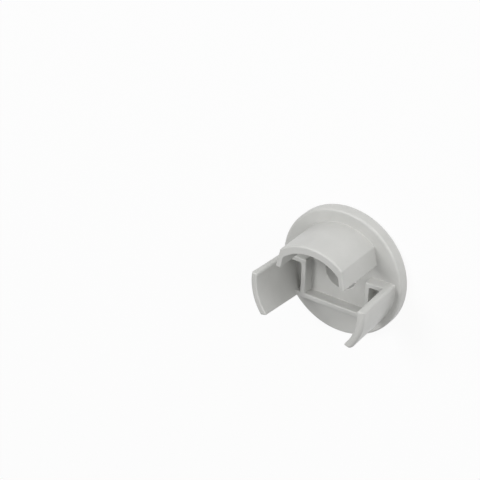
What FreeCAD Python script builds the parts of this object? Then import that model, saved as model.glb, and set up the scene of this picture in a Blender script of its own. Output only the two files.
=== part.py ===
import FreeCAD, Part
import math
import os

import Sketcher

# Clip-in end cap for a round profile, moulded as one piece.
# The round flange lies on the XY plane and covers the end of the profile. The arch, the two
# tongues and the frame rise from its back along +Z, into the profile. +Y points to the arch.

SIZES = [
    ("flange_diameter", 20.0, "outside of the round flange"),
    ("flange_thickness", 2.2, "flange, face to face"),
    ("front_edge_radius", 0.65, "rounding round the flange's outer face"),
    ("rear_edge_radius", 0.4, "rounding round the flange's back"),
    ("cable_hole_diameter", 5.3, "through hole for the cable"),
    ("hole_chamfer", 0.12, "bevel at both ends of the hole"),
    ("arch_inset", 2.0, "flange's edge to the outside of the arch's crown"),
    ("arch_height", 11.0, "rim of the arch above the outer face"),
    ("arch_crown_wall", 1.25, "wall of the crown"),
    ("arch_leg_wall", 0.8, "wall of the straight legs"),
    ("arch_shoulder_inset", 4.8, "flange's side to the outer shoulder of a leg"),
    ("arch_foot_lean", 0.6, "outer foot of a leg beyond its shoulder"),
    ("arch_foot_rise", 3.15, "axis up to the feet of the legs"),
    ("arch_shoulder_radius", 0.35, "outer rounding between crown and leg"),
    ("arch_rim_radius", 0.3, "rounding of the arch's outer rim"),
    ("arch_root_radius", 0.2, "fillet round the outside of the arch's root"),
    ("tongue_inset", 1.0, "flange's edge to the outer face of a tongue at its root"),
    ("tongue_wall", 1.15, "thickness of a tongue"),
    ("tongue_height", 11.6, "tips of the tongues above the outer face"),
    ("tongue_top", 1.1, "axis up to the upper edge of a tongue"),
    ("tongue_bottom_inset", 4.5, "flange's bottom up to the outer lower edge of a tongue"),
    ("tongue_lower_rise", 0.3, "slope of the lower face, up from the outer edge to the inner one"),
    ("tongue_tip_offset", 0.6, "outward lean of a tongue at its tip"),
    ("tongue_nose_radius", 0.6, "rounding of a tongue's outer tip"),
    ("tongue_upper_radius", 0.25, "rounding of a tongue's upper outer edge"),
    ("tongue_lower_radius", 0.2, "rounding of a tongue's lower outer edge"),
    ("frame_side_inset", 5.02, "flange's side to the inner face of an upright wall"),
    ("frame_wall", 0.74, "wall of the frame"),
    ("frame_height", 3.95, "rim of the frame above the outer face"),
    ("frame_floor_inset", 5.45, "flange's bottom up to the frame's floor"),
    ("frame_corner_radius", 0.3, "rounding of the frame's upper corners"),
]

doc = FreeCAD.newDocument("ProfileEndCap")
sheet = doc.addObject("Spreadsheet::Sheet", "Sizes")
for row, (alias, value, note) in enumerate(SIZES, start=1):
    sheet.set(f"A{row}", alias)
    sheet.set(f"B{row}", str(value))
    sheet.set(f"C{row}", note)
    sheet.setAlias(f"B{row}", alias)
doc.recompute()

body = doc.addObject("PartDesign::Body", "EndCap")
body.Label = "end_cap"

# Words for the sketches: ends and centre of a curve, the origin and the two axes
START, END, CENTRE = range(1, 4)
ORIGIN = (-1, 1)
X_AXIS, Y_AXIS = -1, -2
UP = FreeCAD.Vector(0, 0, 1)
NEAR = 1e-3


def size(alias):
    """Value of one cell of the sheet, in millimetres."""
    return float(sheet.get(alias))


def inset(alias):
    """Distance from the axis of what lies this far inside the flange's edge."""
    return size("flange_diameter") / 2 - size(alias)


def inset_rule(alias):
    """The same distance as an expression on the sheet."""
    return f"Sizes.flange_diameter / 2 - Sizes.{alias}"


def at(x, y):
    """Point of a sketch."""
    return FreeCAD.Vector(x, y, 0)


def origin_plane(role):
    """The body's own origin plane with this role."""
    return next(item for item in body.Origin.OriginFeatures if item.Role == role)


def add_sketch(name, height=None):
    """Sketch parallel to the outer face, raised by the height that an alias gives."""
    sketch = body.newObject("Sketcher::SketchObject", name)
    sketch.AttachmentSupport = (origin_plane("XY_Plane"), [""])
    sketch.MapMode = "FlatFace"
    if height:
        sketch.setExpression("AttachmentOffset.Base.z", f"Sizes.{height}")
    return sketch


def tie(sketch, *terms):
    """Adds one geometric constraint."""
    sketch.addConstraint(Sketcher.Constraint(*terms))


def drive(sketch, name, expression, *terms):
    """Adds one dimension and binds it to the sheet."""
    index = sketch.addConstraint(Sketcher.Constraint(*terms))
    sketch.renameConstraint(index, name)
    sketch.setExpression(f"Constraints.{name}", expression)


def add_curves(sketch, curves):
    """Adds curves that follow one another and closes them into a loop, start to end."""
    for curve, _, _ in curves:
        sketch.addGeometry(curve, False)
    for index, (_, _, leave) in enumerate(curves):
        following = (index + 1) % len(curves)
        tie(sketch, "Coincident", index, leave, following, curves[following][1])


def line(start, end):
    """Line of a loop, with the ends at which the loop enters and leaves it."""
    return Part.LineSegment(start, end), START, END


def arc(centre, start, end, reverse=False):
    """Arc of a loop about a centre, anticlockwise unless reversed."""
    first, last = (end, start) if reverse else (start, end)
    angles = [math.atan2(p.y - centre.y, p.x - centre.x) for p in (first, last)]
    circle = Part.Circle(centre, UP, (start - centre).Length)
    curve = Part.ArcOfCircle(circle, *angles)
    return (curve, END, START) if reverse else (curve, START, END)


def add_feature(kind, name, **settings):
    """Adds a feature to the body; a setting given as text is an expression on the sheet."""
    feature = body.newObject(f"PartDesign::{kind}", name)
    for key, value in settings.items():
        if isinstance(value, str):
            feature.setExpression(key, value)
        else:
            setattr(feature, key, value)
    doc.recompute()
    if not feature.isValid():
        raise RuntimeError(f"{name} failed: {feature.State}")
    return feature


def middle(edge):
    """Point halfway along an edge."""
    return edge.valueAt((edge.FirstParameter + edge.LastParameter) / 2)


def find_edges(name, choose):
    """Last feature of the body, with the names of its edges that pass a test."""
    base = body.Tip
    names = [f"Edge{number}" for number, edge in enumerate(base.Shape.Edges, start=1) if choose(edge)]
    if not names:
        raise RuntimeError(f"{name} finds no edge")
    return base, names


def add_fillet(name, radius, choose):
    """Rounds the edges that pass a test."""
    return add_feature("Fillet", name, Base=find_edges(name, choose), Radius=f"Sizes.{radius}")


def add_chamfer(name, width, choose):
    """Bevels the edges that pass a test."""
    return add_feature("Chamfer", name, Base=find_edges(name, choose), Size=f"Sizes.{width}")


def lies_at(edge, height):
    """Whether a whole edge lies at this height above the outer face."""
    return edge.BoundBox.ZLength < NEAR and abs(edge.BoundBox.ZMin - height) < NEAR


def stands(edge):
    """Whether an edge is parallel to the axis."""
    return edge.BoundBox.XLength < NEAR and edge.BoundBox.YLength < NEAR


# Flange: a disc with rounded edges


def make_flange():
    """The outline is four quarter circles, which keeps the rounded edges in four even patches."""
    sketch = add_sketch("FlangeOutline")
    radius = size("flange_diameter") / 2
    corners = [at(radius, 0), at(0, radius), at(-radius, 0), at(0, -radius)]
    add_curves(sketch, [arc(at(0, 0), p, q) for p, q in zip(corners, corners[1:] + corners[:1])])
    for quarter in (0, 1, 2):
        tie(sketch, "Coincident", quarter, CENTRE, *ORIGIN)
    tie(sketch, "Equal", 0, 3)
    for quarter, axis in enumerate((X_AXIS, Y_AXIS, X_AXIS, Y_AXIS)):
        tie(sketch, "PointOnObject", quarter, START, axis)
    drive(sketch, "outside", "Sizes.flange_diameter / 2", "Radius", 0, radius)
    add_feature("Pad", "Flange", Profile=sketch, Length="Sizes.flange_thickness", Refine=False)
    add_fillet("FrontEdge", "front_edge_radius", lambda edge: lies_at(edge, 0))
    rear = size("flange_thickness")
    add_fillet("RearEdge", "rear_edge_radius", lambda edge: lies_at(edge, rear))


# Tongues: two curved spring legs that lean outwards and hold the cap in the profile


def tongue_section(name, height, offset=None):
    """Cross-section of the tongue on +X: two arcs about one centre, level above, sloped below."""
    sketch = add_sketch(name, height)
    centre = at(size(offset) if offset else 0, 0)
    top, bottom = size("tongue_top"), -inset("tongue_bottom_inset")
    inner_bottom = bottom + size("tongue_lower_rise")
    outer = inset("tongue_inset")
    inner = outer - size("tongue_wall")

    def on_arc(radius, level):
        return centre + at(math.sqrt(radius ** 2 - level ** 2), level)

    add_curves(sketch, [
        arc(centre, on_arc(outer, bottom), on_arc(outer, top)),
        line(on_arc(outer, top), on_arc(inner, top)),
        arc(centre, on_arc(inner, top), on_arc(inner, inner_bottom), reverse=True),
        line(on_arc(inner, inner_bottom), on_arc(outer, bottom)),
    ])
    tie(sketch, "Coincident", 0, CENTRE, 2, CENTRE)
    tie(sketch, "Horizontal", 1)
    if offset:
        tie(sketch, "PointOnObject", 0, CENTRE, X_AXIS)
        drive(sketch, "offset", f"Sizes.{offset}", "DistanceX", *ORIGIN, 0, CENTRE, centre.x)
    else:
        tie(sketch, "Coincident", 0, CENTRE, *ORIGIN)
    drive(sketch, "outside", inset_rule("tongue_inset"), "Radius", 0, outer)
    drive(sketch, "inside", f"{inset_rule('tongue_inset')} - Sizes.tongue_wall", "Radius", 2, inner)
    drive(sketch, "top", "Sizes.tongue_top", "DistanceY", *ORIGIN, 0, END, top)
    low = inset_rule("tongue_bottom_inset")
    drive(sketch, "bottom", low, "DistanceY", 0, START, *ORIGIN, -bottom)
    drive(sketch, "inner_bottom", f"{low} - Sizes.tongue_lower_rise",
          "DistanceY", 2, START, *ORIGIN, -inner_bottom)
    return sketch


def make_tongues():
    root = tongue_section("TongueRoot", "flange_thickness")
    tip = tongue_section("TongueTip", "tongue_height", "tongue_tip_offset")
    tongue = add_feature("AdditiveLoft", "Tongue", Profile=root, Sections=[tip], Ruled=True)
    pair = add_feature("Mirrored", "TonguePair", Originals=[tongue],
                       MirrorPlane=(origin_plane("YZ_Plane"), [""]))
    body.Tip = pair
    doc.recompute()
    top, bottom = size("tongue_top"), -inset("tongue_bottom_inset")
    root_height, tip_height = size("flange_thickness"), size("tongue_height")
    halfway = inset("tongue_inset") - size("tongue_wall") / 2

    def is_outer(edge):
        spot = middle(edge)
        lean = size("tongue_tip_offset") * (spot.z - root_height) / (tip_height - root_height)
        return spot.z > root_height + NEAR and math.hypot(abs(spot.x) - lean, spot.y) > halfway

    def is_nose(edge):
        return is_outer(edge) and lies_at(edge, tip_height) and bottom + NEAR < middle(edge).y < top - NEAR

    def is_upper(edge):
        return is_outer(edge) and edge.BoundBox.YLength < NEAR and abs(middle(edge).y - top) < NEAR

    def is_lower(edge):
        return is_outer(edge) and edge.BoundBox.YLength < NEAR and abs(middle(edge).y - bottom) < NEAR

    add_fillet("TongueNoses", "tongue_nose_radius", is_nose)
    add_fillet("TongueUpperEdges", "tongue_upper_radius", is_upper)
    add_fillet("TongueLowerEdges", "tongue_lower_radius", is_lower)


# Arch: the tall spigot, a crown on two straight legs that lean outwards to their feet


def make_arch():
    sketch = add_sketch("ArchOutline", "flange_thickness")
    outer = inset("arch_inset")
    inner = outer - size("arch_crown_wall")
    reach = inset("arch_shoulder_inset")
    shoulder = at(reach, math.sqrt(outer ** 2 - reach ** 2))
    foot = at(reach + size("arch_foot_lean"), size("arch_foot_rise"))
    down = (foot - shoulder).normalize()
    inward = at(down.y, -down.x)
    inner_foot = foot - at(size("arch_leg_wall") / -inward.x, 0)
    along = inner_foot.dot(down)
    off_axis = inner_foot.dot(inward)
    inner_shoulder = inner_foot - down * (along + math.sqrt(inner ** 2 - off_axis ** 2))

    def mirrored(p):
        return at(-p.x, p.y)

    centre = at(0, 0)
    add_curves(sketch, [
        arc(centre, shoulder, mirrored(shoulder)),
        line(mirrored(shoulder), mirrored(foot)),
        line(mirrored(foot), mirrored(inner_foot)),
        line(mirrored(inner_foot), mirrored(inner_shoulder)),
        arc(centre, mirrored(inner_shoulder), inner_shoulder, reverse=True),
        line(inner_shoulder, inner_foot),
        line(inner_foot, foot),
        line(foot, shoulder),
    ])
    for index in (0, 4):
        tie(sketch, "Coincident", index, CENTRE, *ORIGIN)
    for index in (2, 6):
        tie(sketch, "Horizontal", index)
    tie(sketch, "Horizontal", 7, END, 1, START)
    tie(sketch, "Symmetric", 7, START, 1, END, Y_AXIS)
    tie(sketch, "Parallel", 5, 7)
    tie(sketch, "Parallel", 3, 1)
    drive(sketch, "crown", inset_rule("arch_inset"), "Radius", 0, outer)
    drive(sketch, "crown_inside", f"{inset_rule('arch_inset')} - Sizes.arch_crown_wall", "Radius", 4, inner)
    drive(sketch, "shoulder", inset_rule("arch_shoulder_inset"), "DistanceX", *ORIGIN, 7, END, reach)
    drive(sketch, "foot_lean", "Sizes.arch_foot_lean", "DistanceX", 7, END, 7, START, foot.x - reach)
    drive(sketch, "foot_rise", "Sizes.arch_foot_rise", "DistanceY", *ORIGIN, 7, START, foot.y)
    for name, spot, leg in (("right_leg", 5, 7), ("left_leg", 3, 1)):
        end = END if spot == 5 else START
        drive(sketch, name, "Sizes.arch_leg_wall", "Distance", spot, end, leg, size("arch_leg_wall"))
    add_feature("Pad", "Arch", Profile=sketch,
                Length="Sizes.arch_height - Sizes.flange_thickness")

    def is_shoulder(edge):
        spot = middle(edge)
        return stands(edge) and abs(abs(spot.x) - shoulder.x) < NEAR and abs(spot.y - shoulder.y) < NEAR

    add_fillet("ArchShoulders", "arch_shoulder_radius", is_shoulder)
    crown_middle = outer - size("arch_crown_wall") / 2
    leg_middle = (reach + foot.x - size("arch_leg_wall")) / 2

    def goes_round(edge, height):
        spot = middle(edge)
        radius = math.hypot(spot.x, spot.y)
        outside = radius > crown_middle or abs(spot.x) > leg_middle
        return lies_at(edge, height) and outside and radius < outer + NEAR and spot.y > foot.y + NEAR

    rim, root = size("arch_height"), size("flange_thickness")
    add_fillet("ArchRim", "arch_rim_radius", lambda edge: goes_round(edge, rim))
    add_fillet("ArchRoot", "arch_root_radius", lambda edge: goes_round(edge, root))


# Frame: a low wall between the tongues, with a closed pocket beside each tongue


def make_frame():
    sketch = add_sketch("FrameOutline", "flange_thickness")
    wall = size("frame_wall")
    inside = inset("frame_side_inset")
    outside = inside + wall
    top, floor = size("tongue_top"), -inset("frame_floor_inset")
    seat = inset("tongue_inset") - size("tongue_wall") / 2

    def in_tongue(level):
        return at(math.sqrt(seat ** 2 - level ** 2), level)

    right = [
        in_tongue(floor - wall), in_tongue(floor), at(outside, floor), at(outside, top - wall),
        in_tongue(top - wall), in_tongue(top), at(inside, top), at(inside, floor),
    ]
    outline = right + [at(-p.x, p.y) for p in reversed(right)]
    add_curves(sketch, [line(p, q) for p, q in zip(outline, outline[1:] + outline[:1])])
    last = len(outline) - 1
    circle = sketch.addGeometry(Part.Circle(at(0, 0), UP, seat), True)
    tie(sketch, "Coincident", circle, CENTRE, *ORIGIN)
    drive(sketch, "seat", f"{inset_rule('tongue_inset')} - Sizes.tongue_wall / 2", "Radius", circle, seat)
    for corner in (0, 1, 4, 5):
        tie(sketch, "PointOnObject", corner, START, circle)
    for corner in range(len(right)):
        tie(sketch, "Symmetric", corner, START, last - corner, START, Y_AXIS)
    for index in (1, 3, 5):
        tie(sketch, "Horizontal", index)
    for index in (2, 6):
        tie(sketch, "Vertical", index)
    tie(sketch, "Horizontal", 7, START, 2, START)
    drive(sketch, "inside", inset_rule("frame_side_inset"), "DistanceX", *ORIGIN, 7, START, inside)
    drive(sketch, "upright", "Sizes.frame_wall", "DistanceX", 7, START, 2, START, wall)
    drive(sketch, "floor_wall", "Sizes.frame_wall", "DistanceY", 0, START, 1, START, wall)
    drive(sketch, "lip", "Sizes.frame_wall", "DistanceY", 4, START, 5, START, wall)
    drive(sketch, "floor", inset_rule("frame_floor_inset"), "DistanceY", 7, START, *ORIGIN, -floor)
    drive(sketch, "top", "Sizes.tongue_top", "DistanceY", *ORIGIN, 6, START, top)
    add_feature("Pad", "Frame", Profile=sketch,
                Length="Sizes.frame_height - Sizes.flange_thickness")

    def is_corner(edge):
        spot = middle(edge)
        upper = (abs(abs(spot.x) - inside) < NEAR and abs(spot.y - top) < NEAR)
        pocket = (abs(abs(spot.x) - outside) < NEAR and abs(spot.y - top + wall) < NEAR)
        return stands(edge) and (upper or pocket)

    add_fillet("FrameCorners", "frame_corner_radius", is_corner)


# Cable hole: straight through the flange, on the axis


def make_cable_hole():
    sketch = add_sketch("CableHoleOutline")
    radius = size("cable_hole_diameter") / 2
    sketch.addGeometry(Part.Circle(at(0, 0), UP, radius), False)
    tie(sketch, "Coincident", 0, CENTRE, *ORIGIN)
    drive(sketch, "bore", "Sizes.cable_hole_diameter", "Diameter", 0, 2 * radius)
    add_feature("Pocket", "CableHole", Profile=sketch, Length="Sizes.flange_thickness", Reversed=True)

    def bounds_hole(edge):
        return edge.BoundBox.ZLength < NEAR and abs(edge.BoundBox.XLength - 2 * radius) < NEAR

    add_chamfer("HoleEdges", "hole_chamfer", bounds_hole)


make_flange()
make_tongues()
make_arch()
make_frame()
make_cable_hole()

broken = [item.Name for item in doc.Objects if "Invalid" in item.State or "Error" in item.State]
if broken:
    raise RuntimeError(f"features failed: {broken}")
shape = body.Shape
if shape.isNull() or not shape.isValid() or len(shape.Solids) != 1:
    raise RuntimeError("the end cap isn't one valid solid")

os.makedirs("parts", exist_ok=True)
shape.exportStep(f"parts/{body.Label}.step")
print(f"{body.Label}: {shape.Volume:.1f} mm3, {len(shape.Faces)} faces, box {shape.BoundBox}")
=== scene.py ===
import math

import bpy
import numpy as np
from mathutils import Matrix


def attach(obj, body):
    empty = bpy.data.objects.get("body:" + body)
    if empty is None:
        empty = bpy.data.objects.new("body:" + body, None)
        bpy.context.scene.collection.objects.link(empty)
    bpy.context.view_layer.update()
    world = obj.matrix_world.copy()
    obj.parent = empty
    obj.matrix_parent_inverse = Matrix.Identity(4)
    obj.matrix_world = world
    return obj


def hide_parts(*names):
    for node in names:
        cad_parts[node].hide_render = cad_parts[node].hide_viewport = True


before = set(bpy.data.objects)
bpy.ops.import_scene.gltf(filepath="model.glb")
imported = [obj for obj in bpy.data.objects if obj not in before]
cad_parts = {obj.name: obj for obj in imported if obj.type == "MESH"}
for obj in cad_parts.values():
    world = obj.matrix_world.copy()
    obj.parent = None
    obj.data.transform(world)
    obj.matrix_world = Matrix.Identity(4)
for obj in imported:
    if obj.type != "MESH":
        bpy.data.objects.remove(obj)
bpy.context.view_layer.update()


# Flange: the round plate that covers the cut end of the profile. It is the base of the moulding,
# with a well rounded front edge, a smaller rounding behind and a cable hole through its middle.

flange_radius = 0.0100
flange_thickness = 0.0022
hole_radius = 0.00265
hole_edge = 0.00012
front_edge = 0.00065
rear_edge = 0.0004


def corner_arms(corners):
    """Unit vectors a and b from each corner C of a closed outline to the corners beside it."""
    before = np.roll(corners, 1, axis=0) - corners
    after = np.roll(corners, -1, axis=0) - corners
    a = before / np.linalg.norm(before, axis=1, keepdims=True)
    b = after / np.linalg.norm(after, axis=1, keepdims=True)
    return a[:, None], b[:, None]


def rounded_profile(corners, radii, steps=10, support=0.00004):
    """Closed profile with right-angled corners C, each rounded with its radius r.

    With the unit vectors a and b from C to its neighbours, the arc's points are
    C + r (a + b) - r (b cos f + a sin f) for f from 0 to 90 degrees. One more point stands just
    before and just after each arc, so that the flat runs between them shade flat.
    """
    corners = np.array(corners)
    a, b = corner_arms(corners)
    f = np.linspace(0, math.pi / 2, steps)[None, :, None]
    r = np.array(radii)[:, None, None]
    c = corners[:, None]
    arcs = c + r * (a + b) - r * (b * np.cos(f) + a * np.sin(f))
    pieces = [c + (r + support) * a, arcs, c + (r + support) * b]
    return np.concatenate(pieces, axis=1).reshape(-1, 2)


def turned(profile, steps=256):
    """Surface of revolution: the profile's point (r, z) goes to (r cos a, r sin a, z)."""
    a = np.linspace(0, 2 * math.pi, steps, endpoint=False)[:, None]
    r, z = profile[:, 0][None], profile[:, 1][None]
    return np.stack([r * np.cos(a), r * np.sin(a), z + 0 * a], axis=2)


def lattice(rows, columns, rows_close):
    """Quads of a grid of points, numbered row by row, whose columns close on themselves."""
    i = np.arange(rows if rows_close else rows - 1)[:, None]
    j = np.arange(columns)[None]
    down, right = (i + 1) % rows, (j + 1) % columns
    quads = [i * columns + j, down * columns + j, down * columns + right, i * columns + right]
    return np.stack(quads, axis=2).reshape(-1, 4)


def moulding(name, points, faces, finish):
    """Smooth shaded mesh of the points and faces, as a piece of the cap."""
    mesh = bpy.data.meshes.new(name)
    corners = [face.tolist() for face in faces]
    mesh.from_pydata(points.reshape(-1, 3).tolist(), [], corners)
    mesh.shade_smooth()
    mesh.materials.append(finish)
    piece = bpy.data.objects.new(name, mesh)
    bpy.context.scene.collection.objects.link(piece)
    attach(piece, "root")
    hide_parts("end_cap")


def satin_plastic():
    """Light grey moulded plastic: faint clouding from the melt, a fine spark-eroded grain, slight
    sink marks and a satin gloss that wanders a little, as on any unpainted moulding."""
    finish = bpy.data.materials.new("satin_grey_plastic")
    finish.use_nodes = True
    nodes, links = finish.node_tree.nodes, finish.node_tree.links
    nodes.clear()
    output = nodes.new("ShaderNodeOutputMaterial")
    shader = nodes.new("ShaderNodeBsdfPrincipled")
    shader.inputs["IOR"].default_value = 1.49
    shader.inputs["Specular IOR Level"].default_value = 0.42
    links.new(shader.outputs["BSDF"], output.inputs["Surface"])
    place = nodes.new("ShaderNodeTexCoord")

    def noise(per_metre, detail, distortion=0.0):
        node = nodes.new("ShaderNodeTexNoise")
        node.inputs["Scale"].default_value = per_metre
        node.inputs["Detail"].default_value = detail
        node.inputs["Distortion"].default_value = distortion
        links.new(place.outputs["Object"], node.inputs["Vector"])
        return node.outputs["Fac"]

    def bump(height, strength, distance):
        node = nodes.new("ShaderNodeBump")
        node.inputs["Strength"].default_value = strength
        node.inputs["Distance"].default_value = distance
        links.new(height, node.inputs["Height"])
        return node

    tone = nodes.new("ShaderNodeValToRGB")
    dark, light = tone.color_ramp.elements
    dark.position, dark.color = 0.3, (0.54, 0.542, 0.523, 1)
    light.position, light.color = 0.72, (0.58, 0.579, 0.561, 1)
    links.new(noise(260, 4, 0.6), tone.inputs["Fac"])
    links.new(tone.outputs["Color"], shader.inputs["Base Color"])

    gloss = nodes.new("ShaderNodeMapRange")
    gloss.inputs["From Min"].default_value = 0.3
    gloss.inputs["From Max"].default_value = 0.7
    gloss.inputs["To Min"].default_value = 0.30
    gloss.inputs["To Max"].default_value = 0.38
    links.new(noise(900, 5), gloss.inputs["Value"])
    links.new(gloss.outputs["Result"], shader.inputs["Roughness"])

    grain = bump(noise(9000, 3), strength=0.5, distance=0.000006)
    sink_marks = bump(noise(420, 1), strength=0.6, distance=0.00003)
    links.new(grain.outputs["Normal"], sink_marks.inputs["Normal"])
    links.new(sink_marks.outputs["Normal"], shader.inputs["Normal"])
    return finish


plastic = satin_plastic()
flange_profile = rounded_profile(
    [
        (hole_radius, 0), (flange_radius, 0),
        (flange_radius, flange_thickness), (hole_radius, flange_thickness),
    ],
    [hole_edge, front_edge, rear_edge, hole_edge],
)
flange = turned(flange_profile)
moulding("flange", flange, lattice(*flange.shape[:2], rows_close=True), plastic)


# Tongues: two curved spring legs that hold the cap in the profile. Each is moulded upright on the
# flange and leans outwards, and its outer edge is well rounded at the tip to lead it in.

tongue_radius = 0.0090
tongue_thickness = 0.00115
tongue_tip = 0.0116
tongue_top = 0.0011
tongue_outer_bottom = -0.0055
tongue_inner_bottom = -0.0052
tongue_lean = 0.0006

# All walls on the flange share these: how deep they start in it, the distance of the rings beside
# a rounding, and the angles of a rounding's steps.
wall_sunk = 0.0002
ring_gap = 0.00003
quarter = np.linspace(0, math.pi / 2, 9)


def ring_levels(top, root, edges):
    """Levels z of a wall's rings: sunk in the flange, up its flared root and round its edges.

    One more ring stands just above the root and one just below the edges, so that the upright
    faces between them shade flat.
    """
    foot = flange_thickness
    levels = np.concatenate([
        [foot - wall_sunk], foot + root * (1 - np.cos(quarter[::2])), [foot + root + ring_gap],
        [top - max(edges) - ring_gap], *[top - r * (1 - np.sin(quarter)) for r in edges],
    ])
    return np.unique(levels.round(6))[:, None]


def ring_insets(z, top, root, edge):
    """Distance d of the ring at each level z inside the wall's plan outline.

    Near the top it is r - sqrt(r^2 - (z - top + r)^2), with r the radius of the edge, and at the
    root the same curve upside down goes outwards. The last row is for a ring on the flat top.
    """
    rise = np.clip(z - top + edge, 0, edge)
    flare = np.clip(flange_thickness + root - z, 0, root)
    d = edge - np.sqrt(edge ** 2 - rise ** 2) - (root - np.sqrt(root ** 2 - flare ** 2))
    return np.append(d, [edge + ring_gap], axis=0)


def wall(outer, inner, top, nose, lip, ends, corner, root, lean=0.0):
    """A wall that stands on the flange, as one ring of its plan outline for each level z.

    outer and inner are its two plan curves, paired point for point. M is the curve midway between
    them, n the unit vector across it and h half the thickness. A ring's point at distance s along M
    is M(s) + (h - d) n(s) outside and M(s) - (h - d) n(s) inside, and each corner is a quarter
    circle. The inset d follows the outer nose, the inner lip or the ends, as in ring_insets.
    """
    z = ring_levels(top, root, [nose, lip, ends])
    out, into, end = [ring_insets(z, top, root, np.array([r])) for r in (nose, lip, ends)]
    z = np.append(z, [[top]], axis=0)

    # The curve runs a little past both ends, so that the flared root has something to follow.
    spare = 0.001
    middle = (outer + inner) / 2
    half = np.linalg.norm(outer - inner, axis=1) / 2
    across = (outer - inner) / (2 * half[:, None])
    step = np.linalg.norm(np.diff(middle, axis=0), axis=1)
    along = np.append(0, np.cumsum(step))
    length = along[-1]
    first = middle[0] + (middle[0] - middle[1]) / step[0] * spare
    last = middle[-1] + (middle[-1] - middle[-2]) / step[-1] * spare
    middle = np.concatenate([[first], middle, [last]])
    half = np.pad(half, 1, mode="edge")
    across = np.pad(across, ((1, 1), (0, 0)), mode="edge")
    along = np.concatenate([[-spare], along, [length + spare]])

    # run is a point's place from end to end. In a corner of radius 1, bend is how far it lies back
    # from the arc's centre along the curve, and drop how far it lies in from the wall's face.
    straight = np.zeros(len(outer) - 2)
    run = np.concatenate([0 * quarter, np.linspace(0, 1, len(outer))[1:-1], 0 * quarter + 1])
    bend = np.concatenate([np.cos(quarter), straight, -np.cos(quarter[::-1])])
    drop = np.concatenate([1 - np.sin(quarter), straight, 1 - np.sin(quarter[::-1])])

    def side(sign, d):
        """Points of one side of every ring, with their corners: sign 1 outside and -1 inside."""
        c = np.maximum(corner - np.maximum(d, end), ring_gap)
        s = end + c + run * (length - 2 * (end + c)) - c * bend
        t = sign * (np.interp(s, along, half) - d - c * drop)
        x = np.interp(s, along, middle[:, 0]) + t * np.interp(s, along, across[:, 0])
        y = np.interp(s, along, middle[:, 1]) + t * np.interp(s, along, across[:, 1])
        x = x + lean * (z - flange_thickness) / (top - flange_thickness)
        return np.stack([x, y, z + 0 * s], axis=2)

    points = np.concatenate([side(1, out), side(-1, into)[:, ::-1]], axis=1)
    rows, columns = points.shape[:2]
    i = np.arange(columns // 2 - 1)
    strip = np.stack([i, i + 1, columns - 2 - i, columns - 1 - i], axis=1)
    above = (rows - 1) * columns
    around = lattice(rows, columns, rows_close=False)[:, ::-1]
    return points, np.concatenate([around, strip[:, ::-1], above + strip])


def tongue_curve(radius, bottom, steps=40):
    """The circle x^2 + y^2 = radius^2 on +X, from y = bottom up to the tongue's top."""
    y = np.linspace(bottom, tongue_top, steps)
    return np.stack([np.sqrt(radius ** 2 - y ** 2), y], axis=1)


points, quads = wall(
    tongue_curve(tongue_radius, tongue_outer_bottom),
    tongue_curve(tongue_radius - tongue_thickness, tongue_inner_bottom),
    top=tongue_tip, nose=0.0006, lip=0.0002, ends=0.00025, corner=0.00035, root=0.0001,
    lean=tongue_lean,
)
moulding("tongue_right", points, quads, plastic)
moulding("tongue_left", points * (-1, 1, 1), quads[:, ::-1], plastic)


# Arch: the tall half-round spigot that locates the cap in the profile. It is moulded in one with
# the flange, a thick crown on two thinner legs, and it is open below so that a strip passes.

arch_top = 0.0110
crown_radius = 0.0080
crown_thickness = 0.00125
leg_thickness = 0.0008
shoulder_reach = 0.0052
foot_reach = 0.0058
foot_level = 0.00315

shoulder = np.array([shoulder_reach, math.sqrt(crown_radius ** 2 - shoulder_reach ** 2)])
foot = np.array([foot_reach, foot_level])
leg_way = (shoulder - foot) / np.linalg.norm(shoulder - foot)
leg_inward = np.array([-leg_way[1], leg_way[0]])
inner_foot = foot - np.array([leg_thickness / -leg_inward[0], 0])
inner_radius = crown_radius - crown_thickness
reach_up = -inner_foot @ leg_way + math.sqrt(inner_radius ** 2 - (inner_foot @ leg_inward) ** 2)
inner_shoulder = inner_foot + reach_up * leg_way


def arch_curve(low, high, leg_steps=75, crown_steps=281, soften=7):
    """Straight leg from low to high, the circle about the axis over the crown, and the other leg.

    Each point is then the mean of the seven around it, which rounds the shoulders.
    """
    leg = low + (high - low) * np.linspace(0, 1, leg_steps)[:, None]
    start = math.atan2(high[1], high[0])
    angle = np.linspace(start, math.pi - start, crown_steps)[1:-1]
    crown = math.hypot(*high) * np.stack([np.cos(angle), np.sin(angle)], axis=1)
    curve = np.concatenate([leg, crown, leg[::-1] * (-1, 1)])
    share = np.ones(soften) / soften
    softened = [np.convolve(curve[:, k], share, "valid") for k in (0, 1)]
    trim = soften // 2
    return np.concatenate([curve[:trim], np.stack(softened, axis=1), curve[-trim:]])


points, quads = wall(
    arch_curve(foot, shoulder), arch_curve(inner_foot, inner_shoulder),
    top=arch_top, nose=0.0003, lip=0.00008, ends=0.00008, corner=0.0001, root=0.00004,
)
moulding("arch", points, quads, plastic)


# Frame: a low wall between the tongues that stiffens the flange and guides the strip. A floor bar
# runs from tongue to tongue, and on each side an upright turns outwards and closes a pocket. Its
# rim is crisp towards the pockets and below, and well rounded towards the strip between them.

frame_top = 0.00395
frame_thickness = 0.00074
frame_inside = 0.00498
frame_floor = -0.00455
frame_root = 0.00005
crisp_edge = 0.00008
strip_edge = 0.00025
low_corner = 0.00016
high_corner = 0.0003
hidden_corner = 0.0002
bar_reach = 0.0069
turn_reach = 0.0083
turn_top = tongue_top - 0.00005


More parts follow.
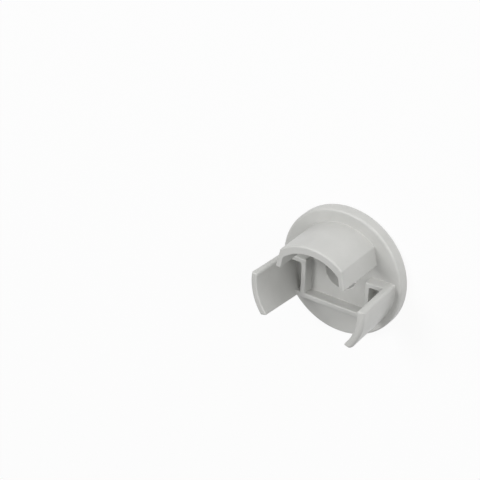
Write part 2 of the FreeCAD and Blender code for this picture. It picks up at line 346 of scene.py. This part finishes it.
def rounded_outline(corners, radii, steps=7):
    """Points and outward normals of a closed outline, anticlockwise, with right-angled corners C.

    Each corner is an arc as in rounded_profile. Its outward normal is -(b cos f + a sin f) where
    the outline turns left, and the opposite where it turns right.
    """
    corners = np.array(corners)
    a, b = corner_arms(corners)
    left = np.sign(a[..., 1] * b[..., 0] - a[..., 0] * b[..., 1])[..., None]
    f = np.linspace(0, math.pi / 2, steps)[None, :, None]
    ray = b * np.cos(f) + a * np.sin(f)
    r = np.array(radii)[:, None, None]
    points = corners[:, None] + r * (a + b) - r * ray
    return points.reshape(-1, 2), (-left * ray).reshape(-1, 2)


def raised(outline, normals, edge, root, top):
    """A wall over a whole outline, one ring for each level z, with a flat top of one face.

    A ring's point is p - d n, where n is the outline's normal at p, and d is the inset as in
    ring_insets, with each point's own edge radius.
    """
    z = ring_levels(top, root, np.unique(edge))
    d = ring_insets(z, top, root, edge)
    z = np.append(z, [[top]], axis=0)
    flat = outline - d[:, :, None] * normals
    points = np.concatenate([flat, np.repeat(z, len(outline), axis=1)[:, :, None]], axis=2)
    around = lattice(*points.shape[:2], rows_close=False)[:, ::-1]
    base = np.arange(len(outline))
    lid = base + (len(z) - 1) * len(outline)
    return points, [*around, lid, base[::-1]]


frame_outside = frame_inside + frame_thickness
bar_bottom = frame_floor - frame_thickness
turn_bottom = turn_top - frame_thickness
right_corners = [
    (bar_reach, bar_bottom), (bar_reach, frame_floor), (frame_outside, frame_floor),
    (frame_outside, turn_bottom), (turn_reach, turn_bottom), (turn_reach, turn_top),
    (frame_inside, turn_top), (frame_inside, frame_floor),
]
right_radii = [
    hidden_corner, hidden_corner, low_corner, high_corner,
    hidden_corner, hidden_corner, high_corner, low_corner,
]
left_corners = [(-x, y) for x, y in right_corners[::-1]]
outline, normals = rounded_outline(right_corners + left_corners, right_radii + right_radii[::-1])
margin = 0.00001
between_uprights = np.abs(outline[:, 0]) < frame_inside + high_corner + margin
strip_side = between_uprights & (outline[:, 1] > frame_floor - margin)
edge = np.where(strip_side, strip_edge, crisp_edge)
moulding("frame", *raised(outline, normals, edge, frame_root, frame_top), plastic)


# Floor: a plain pale sheet under the cap, which lies on its flat outer face. The camera sees it as
# white with a part of the cap's soft shadow, but inside the cable hole it lies wholly in the shade.

floor_reach = 1.5
white_share = 0.93

floor_mesh = bpy.data.meshes.new("floor")
floor_corners = floor_reach * np.array([(-1, -1, 0), (1, -1, 0), (1, 1, 0), (-1, 1, 0)])
floor_mesh.from_pydata(floor_corners.tolist(), [], [(0, 1, 2, 3)])
floor = bpy.data.objects.new("floor", floor_mesh)
bpy.context.scene.collection.objects.link(floor)


def maths(tree, operation, first, second):
    """Output of a math node for a socket and a second socket or a number."""
    node = tree.nodes.new("ShaderNodeMath")
    node.operation = operation
    tree.links.new(first, node.inputs[0])
    if isinstance(second, float):
        node.inputs[1].default_value = second
    else:
        tree.links.new(second, node.inputs[1])
    return node.outputs["Value"]


def shown_to_camera(tree, output, lit, seen, share):
    """Camera, glossy and transmission rays get the given share of the shader seen, and the rest
    of the shader lit, which all other rays get alone."""
    rays = tree.nodes.new("ShaderNodeLightPath")
    either = maths(tree, "MAXIMUM", rays.outputs["Is Camera Ray"], rays.outputs["Is Glossy Ray"])
    total = maths(tree, "MAXIMUM", either, rays.outputs["Is Transmission Ray"])
    mix = tree.nodes.new("ShaderNodeMixShader")
    tree.links.new(maths(tree, "MULTIPLY", total, share), mix.inputs["Fac"])
    tree.links.new(lit.outputs[0], mix.inputs[1])
    tree.links.new(seen.outputs[0], mix.inputs[2])
    tree.links.new(mix.outputs["Shader"], output.inputs["Surface"])


paper = bpy.data.materials.new("pale_paper")
paper.use_nodes = True
sheet = paper.node_tree
sheet.nodes.clear()
sheet_out = sheet.nodes.new("ShaderNodeOutputMaterial")
matt = sheet.nodes.new("ShaderNodeBsdfDiffuse")
matt.inputs["Color"].default_value = (0.8, 0.8, 0.8, 1)
white = sheet.nodes.new("ShaderNodeEmission")
white.inputs["Strength"].default_value = 1.0
spot = sheet.nodes.new("ShaderNodeNewGeometry")
distance = sheet.nodes.new("ShaderNodeVectorMath")
distance.operation = "LENGTH"
sheet.links.new(spot.outputs["Position"], distance.inputs[0])
past_hole = maths(sheet, "GREATER_THAN", distance.outputs["Value"], hole_radius)
share = maths(sheet, "MULTIPLY", past_hole, white_share)
shown_to_camera(sheet, sheet_out, lit=matt, seen=white, share=share)
floor_mesh.materials.append(paper)


# Studio light: a soft key lamp from the left, weaker ones from the right and from above the arch,
# and a pale room that looks white behind the floor.

lamp_side = 0.25

world = bpy.data.worlds.new("pale_room")
world.use_nodes = True
room = world.node_tree
room.nodes.clear()
room_out = room.nodes.new("ShaderNodeOutputWorld")
surround = room.nodes.new("ShaderNodeBackground")
surround.inputs["Color"].default_value = (1, 1, 1, 1)
surround.inputs["Strength"].default_value = 0.29
behind = room.nodes.new("ShaderNodeBackground")
behind.inputs["Color"].default_value = (1, 1, 1, 1)
behind.inputs["Strength"].default_value = 1.0
shown_to_camera(room, room_out, lit=surround, seen=behind, share=1.0)
bpy.context.scene.world = world


def soft_lamp(name, place, power):
    """Square area lamp at place, in metres, turned so that its -Z axis looks at the cap."""
    lamp = bpy.data.lights.new(name, "AREA")
    lamp.size = lamp_side
    lamp.energy = power
    away = np.array(place) / np.linalg.norm(place)
    side = np.cross((0, 0, 1), away)
    side = side / np.linalg.norm(side)
    pose = np.eye(4)
    pose[:3] = np.stack([side, np.cross(away, side), away, place], axis=1)
    source = bpy.data.objects.new(name, lamp)
    source.matrix_world = Matrix(pose.tolist())
    bpy.context.scene.collection.objects.link(source)


soft_lamp("key", (-0.21, 0.27, 0.494), 1.75)
soft_lamp("side", (0.45, 0.26, 0.3), 1.03)
soft_lamp("top", (0.28, 0.52, 0.08), 1.05)


# Camera: the photograph's own place, in front of the spigot, above it and to its right, and
# turned so that the arch stands upright in the picture.

# A point p of the cap stands at view p + shift from the lens, with x to the right, y down and z
# ahead. The view turns by the vector's length about its direction k:
# view = 1 + sin(angle) K + (1 - cos(angle)) K K, where K v is the cross product of k and v.
turn = np.array([-2.5256, -0.254442, 0.751476])
shift = np.array([0.015831, 0.003750, 0.491262])
focal_pixels = 3397.46
picture_pixels = 480
sensor_mm = 36
angle = np.linalg.norm(turn)
k = turn / angle
cross = np.array([[0, -k[2], k[1]], [k[2], 0, -k[0]], [-k[1], k[0], 0]])
view = np.eye(3) + math.sin(angle) * cross + (1 - math.cos(angle)) * cross @ cross
pose = np.eye(4)
pose[:3, :3] = view.T @ np.diag([1, -1, -1])
pose[:3, 3] = -view.T @ shift
camera_data = bpy.data.cameras.new("camera")
camera_data.sensor_width = sensor_mm
camera_data.lens = focal_pixels / picture_pixels * sensor_mm
camera_data.clip_start = 0.01
camera = bpy.data.objects.new("camera", camera_data)
camera.matrix_world = Matrix(pose.tolist())
bpy.context.scene.collection.objects.link(camera)
bpy.context.scene.camera = camera
bpy.context.scene.view_settings.view_transform = "Standard"
